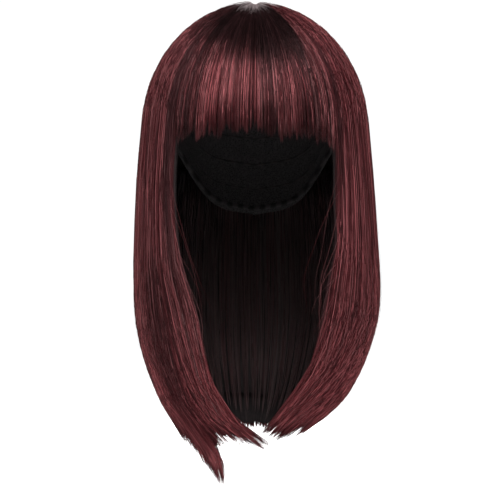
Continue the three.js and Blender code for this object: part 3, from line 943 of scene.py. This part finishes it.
looseHairs = {
    # their tone, well above the panels', is a painted highlight for the light the loose hairs catch
    "seed": 710, "width": 0.00012, "rings": 14, "tone": 0.85, "warmth": 0.45, "proud": 0.0022,
    # which panel, how many, from and to (share of the way across), start and end (path), stray
    "lots": [
        ("left", 16, (0.9, 1.0), (1.2, 1.9), (1.9, 2.4), 0.1),
        ("right", 12, (0.9, 1.0), (1.2, 1.9), (1.9, 2.4), 0.1),
        ("left", 10, (0.1, 0.6), (0.5, 1.6), (2.0, 2.6), 0.02),
        ("right", 10, (0.1, 0.6), (0.5, 1.6), (2.0, 2.6), 0.02),
        ("back", 24, (0.05, 0.95), (0.4, 1.5), (1.8, 2.6), 0.03),
    ],
}


def growLooseHairs():
    generator = np.random.default_rng(looseHairs["seed"])
    turns = {"left": leftTurn, "right": rightTurn, "back": backTurn}
    batches = []
    for panel, count, among, starts, ends, stray in looseHairs["lots"]:
        across = generator.uniform(*among, (count, 1))
        start, end = generator.uniform(*starts, (count, 1)), generator.uniform(*ends, (count, 1))
        share = np.linspace(0, 1, looseHairs["rings"])[None, :]
        path = mix(start, end, share)
        bent, away = np.abs(generator.normal(0, 1, (2, count, 1)))
        # those at the face stray towards it and the others either way
        atFace = among[1] == 1
        towards = np.full((count, 1), 1 if panel == "left" else -1)
        towards = towards if atFace else generator.choice([-1, 1], (count, 1))
        bow = bent * np.sin(math.pi * share) + away * share
        inset = 0.001 - looseHairs["proud"] * bow * share
        turn = turns[panel](np.clip(across, 0, 1), path) + stray * towards * bow
        points = hairPoint(turn, path, inset, 0.0, None if panel == "back" else panel)
        width = looseHairs["width"] * (1 - 0.7 * smooth(share, 0.6, 1)) * np.ones((count, 1))
        tone = looseHairs["tone"] * generator.uniform(0.6, 1.1, (count, 1)) * np.ones_like(share)
        warmth = looseHairs["warmth"] * generator.uniform(0.4, 1.4, (count, 1)) * np.ones_like(share)
        batches.append((points, width, tone, warmth))
    loose = strandPiece("loose_hairs", batches, burgundyStrands)
    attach(loose, "root")


growLooseHairs()
print("root hairs and loose hairs grown")


# The net cap, its sewn rows and elastic edge, and the skin top

netCap = {
    "columns": 120, "rows": 26, "from": 0.0005, "to": 0.0013,
    # lower edge: degrees from the face, and how far down as a share of the cap's depth
    "edge": {
        "turn": [0, 32, 56, 72, 80, 97, 118, 145, 180],
        "down": [0.3, 0.34, 0.5, 0.7, 0.71, 0.57, 0.68, 0.93, 1],
    },
    "sewnRows": [0.36, 0.45, 0.54, 0.63, 0.72, 0.81, 0.9], "sewnFrom": 66,
    "sewnWidth": 0.0013, "sewnThickness": 0.0007, "sewnAbove": 0.0009,
    "edgeWidth": 0.0032, "edgeThickness": 0.0009, "edgeShare": 0.972,
    "weaveScale": 620, "weaveHeight": 0.0002, "stitchHeight": 0.0004,
}


def capPoint(turn, share, above):
    # share runs from the crown, 0, to the lower edge, 1
    turn, share = np.broadcast_arrays(turn, share)
    fromFace = np.degrees(np.arccos(np.cos(turn)))
    edge = headShape["up"] - capShape["depth"] * readTable(netCap["edge"], "down", "turn", fromFace)
    up, low = headShape["up"] + above, headShape["low"] + above
    upper = np.arccos(np.clip(edge / up, -1, 1))
    lower = quarter + np.arcsin(np.clip(-edge / low, -1, 1))
    tilt = np.where(edge > 0, upper, lower) * share
    depth = np.where(np.cos(turn) > 0, headShape["front"], headShape["back"]) + above
    return np.stack([
        (headShape["side"] + above) * np.sin(tilt) * np.sin(turn),
        -depth * np.sin(tilt) * np.cos(turn),
        np.cos(tilt) * np.where(tilt < quarter, up, low) - headShape["up"],
    ], -1)


def bandPiece(name, paths, width, thickness, closed, material):
    # flat bands with rounded edges, each along a row of points. Their maps run along
    # the band and round it
    sides = 8
    angle = 2 * math.pi * np.arange(sides) / sides
    count, length = paths.shape[:2]
    if closed:
        along = np.roll(paths, -1, 1) - np.roll(paths, 1, 1)
    else:
        along = np.gradient(paths, axis=1)
    along /= np.linalg.norm(along, axis=2, keepdims=True)
    outward = paths + np.array([0, 0, headShape["up"]])
    beside = np.cross(along, outward)
    beside /= np.linalg.norm(beside, axis=2, keepdims=True)
    outward = np.cross(beside, along)
    points = (
        paths[:, :, None]
        + beside[:, :, None] * width * np.cos(angle)[:, None]
        + outward[:, :, None] * thickness * np.sin(angle)[:, None]
    )
    steps = length if closed else length - 1
    start = (np.arange(count) * length * sides)[:, None, None]
    here = start + (np.arange(steps) * sides)[None, :, None]
    ahead = start + (((np.arange(steps) + 1) % length) * sides)[None, :, None]
    k = np.arange(sides)[None, None, :]
    following = (k + 1) % sides
    quads = np.stack([here + k, here + following, ahead + following, ahead + k], -1).reshape(-1, 4)
    u, v = np.broadcast_arrays((np.arange(steps) / steps)[None, :, None], k / sides + 0 * here)
    square = [(u, v), (u, v + 1 / sides), (u + 1 / steps, v + 1 / sides), (u + 1 / steps, v)]
    place = np.stack([np.stack(corner, -1) for corner in square], -2).reshape(-1, 4, 2)
    faces, uvs = [quads], [place]
    if not closed:
        first = start[:, :, 0] + np.arange(sides)[None, ::-1]
        last = start[:, :, 0] + (length - 1) * sides + np.arange(sides)[None]
        ends = np.concatenate([first, last])
        endMap = 0.5 + 0.45 * np.stack([np.cos(angle), np.sin(angle)], -1)
        faces.append(ends)
        uvs.append(np.broadcast_to(endMap, (len(ends), sides, 2)))
    flat = points.reshape(-1, 3)
    if insideOut(flat, quads):
        faces = [part[:, ::-1] for part in faces]
        uvs = [part[:, ::-1] for part in uvs]
    return newPiece(name, flat, faces, uvs, [material])


def netMaterial():
    material, nodes, links, shader = newMaterial("capNet", 0.85, 0.2)
    place = nodes.new("ShaderNodeTexCoord")
    cells = nodes.new("ShaderNodeTexVoronoi")
    cells.feature = "DISTANCE_TO_EDGE"
    cells.inputs["Scale"].default_value = netCap["weaveScale"]
    links.new(place.outputs["Object"], cells.inputs["Vector"])
    stops = [(0.04, (0.03, 0.027, 0.028)), (0.25, (0.006, 0.0052, 0.0056))]
    colour = rampColour(nodes, links, cells.outputs["Distance"], stops)
    links.new(colour, shader.inputs["Base Color"])
    addBump(nodes, links, shader, cells.outputs["Distance"], netCap["weaveHeight"], invert=True)
    return material


def sewnMaterial(name, stitches, thread):
    # stitches is how many cross the band from end to end
    material, nodes, links, shader = newMaterial(name, 0.7, 0.25)
    wave = nodes.new("ShaderNodeTexWave")
    wave.bands_direction = "X"
    wave.inputs["Scale"].default_value = stitches / 20  # a wave repeats twenty times over a unit
    wave.inputs["Distortion"].default_value = 1.5
    wave.inputs["Detail"].default_value = 2
    links.new(ownMap(nodes), wave.inputs["Vector"])
    stops = [(0.3, (0.006, 0.005, 0.0055)), (0.7, thread)]
    links.new(rampColour(nodes, links, wave.outputs["Fac"], stops), shader.inputs["Base Color"])
    addBump(nodes, links, shader, wave.outputs["Fac"], netCap["stitchHeight"])
    return material


def sewCap():
    turn = np.linspace(0, 2 * math.pi, netCap["columns"], endpoint=False)
    share = np.linspace(0, 1, netCap["rows"] + 1)[1:, None]
    outer, inner = (capPoint(turn[None], share, above) for above in (netCap["to"], netCap["from"]))
    rows, columns = outer.shape[:2]
    crown = capPoint(0.0, 0.0, netCap["to"]), capPoint(0.0, 0.0, netCap["from"])
    points = np.concatenate([outer.reshape(-1, 3), inner.reshape(-1, 3), np.stack(crown)])
    index = np.arange(rows * columns).reshape(rows, columns)
    far, poles = index + rows * columns, (2 * rows * columns, 2 * rows * columns + 1)

    def quadsOf(a, b):
        return np.stack([a, b, np.roll(b, -1, -1), np.roll(a, -1, -1)], -1).reshape(-1, 4)

    def fanOf(pole, ring):
        return np.stack([np.full(columns, pole), ring, np.roll(ring, -1)], -1)

    quads = np.concatenate([
        quadsOf(index[:-1], index[1:]), quadsOf(far[1:], far[:-1]), quadsOf(index[-1], far[-1])])
    threes = np.concatenate([fanOf(poles[0], index[0]), fanOf(poles[1], far[0])[:, ::-1]])
    flat = points[:, :2] / (4 * headShape["back"]) + 0.5
    net = newPiece("cap_net", points, [quads, threes], [flat[quads], flat[threes]], [netMaterial()])

    sewn = np.radians(np.linspace(netCap["sewnFrom"], 360 - netCap["sewnFrom"], 110))
    sewnRows = np.stack([capPoint(sewn, row, netCap["sewnAbove"]) for row in netCap["sewnRows"]])
    wefts = bandPiece(
        "cap_sewn_rows", sewnRows, netCap["sewnWidth"], netCap["sewnThickness"], False,
        sewnMaterial("sewnRows", 150, (0.016, 0.012, 0.0125)))
    edgePath = capPoint(turn, netCap["edgeShare"], netCap["sewnAbove"])[None]
    edge = bandPiece(
        "cap_elastic_edge", edgePath, netCap["edgeWidth"], netCap["edgeThickness"], True,
        sewnMaterial("elasticEdge", 260, (0.03, 0.027, 0.028)))
    for part in (net, wefts, edge):
        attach(part, "root")
        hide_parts("cap")


sewCap()


def scalpMaterial():
    material, nodes, links, shader = newMaterial("paleScalp", 0.6, 0.3)
    place = nodes.new("ShaderNodeTexCoord")
    noise = nodes.new("ShaderNodeTexNoise")
    noise.inputs["Scale"].default_value = 900
    noise.inputs["Detail"].default_value = 3
    links.new(place.outputs["Object"], noise.inputs["Vector"])
    stops = [(0.35, (0.5, 0.42, 0.38)), (0.65, (0.75, 0.69, 0.66))]
    links.new(rampColour(nodes, links, noise.outputs["Fac"], stops), shader.inputs["Base Color"])
    addBump(nodes, links, shader, noise.outputs["Fac"], height=0.0002)
    return material


skinTop = scalpMaterial()
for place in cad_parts["scalp_top"].material_slots:
    place.material = skinTop
print("cap and skin top finished")


# Floor, light and camera

studio = {
    "floorAt": -0.47, "floorRadius": 5,
    "white": 1.05, "fill": 0.12,
    "lights": [
        # name, place, size, watts
        ("key", (0.05, -1.05, 0.95), (1.7, 1.1), 52),
        ("leftSoft", (-1.7, -0.9, -0.1), (0.8, 1.6), 26),
        ("rightSoft", (1.7, -0.9, -0.1), (0.8, 1.6), 31),
        ("backSoft", (0.4, 2.0, 0.25), (1.2, 1.0), 30),
    ],
    "lookAt": (0, 0, -0.15),
}



def mixShaders(nodes, links, share, first, second, surface):
    either = nodes.new("ShaderNodeMixShader")
    links.new(share, either.inputs["Fac"])
    links.new(first.outputs[0], either.inputs[1])
    links.new(second.outputs[0], either.inputs[2])
    links.new(either.outputs[0], surface.inputs["Surface"])


bpy.ops.mesh.primitive_circle_add(
    vertices=96, radius=studio["floorRadius"], fill_type="NGON", location=(0, 0, studio["floorAt"]))
floor = bpy.context.object
floor.name = "floor"
pale, nodes, links, shader = newMaterial("paleFloor", 0.9, 0.2)
shader.inputs["Base Color"].default_value = (0.9, 0.9, 0.9, 1)
shader.inputs["Emission Color"].default_value = (1, 1, 1, 1)
ray = nodes.new("ShaderNodeLightPath")
links.new(ray.outputs["Is Camera Ray"], shader.inputs["Emission Strength"])
# clear from below
side, clear = nodes.new("ShaderNodeNewGeometry"), nodes.new("ShaderNodeBsdfTransparent")
mixShaders(nodes, links, side.outputs["Backfacing"], shader, clear, nodes["Material Output"])
floor.data.materials.append(pale)

world = bpy.data.worlds.new("studio")
bpy.context.scene.world = world
world.use_nodes = True
nodes, links = world.node_tree.nodes, world.node_tree.links
nodes.clear()
ray, out = nodes.new("ShaderNodeLightPath"), nodes.new("ShaderNodeOutputWorld")
lit, seen = nodes.new("ShaderNodeBackground"), nodes.new("ShaderNodeBackground")
for background, strength in ((lit, studio["fill"]), (seen, studio["white"])):
    background.inputs["Strength"].default_value = strength
    background.inputs["Color"].default_value = (1, 1, 1, 1)
mixShaders(nodes, links, ray.outputs["Is Camera Ray"], lit, seen, out)

for name, place, size, watts in studio["lights"]:
    bpy.ops.object.light_add(type="AREA", location=place)
    light = bpy.context.object
    light.name = name
    light.data.shape = "RECTANGLE"
    light.data.size, light.data.size_y = size
    light.data.energy = watts
    ahead = mathutils.Vector(studio["lookAt"]) - light.location
    light.rotation_euler = ahead.to_track_quat("-Z", "Y").to_euler()

view = {"distance": 2.4, "across": 0.425, "x": -0.00425, "z": -0.1955}
bpy.ops.object.camera_add(location=(view["x"], -view["distance"], view["z"]), rotation=(quarter, 0, 0))
camera = bpy.context.object
camera.data.sensor_width = 36
camera.data.lens = 36 * view["distance"] / view["across"]
camera.data.clip_end = 50
bpy.context.scene.camera = camera
bpy.context.scene.view_settings.view_transform = "Standard"
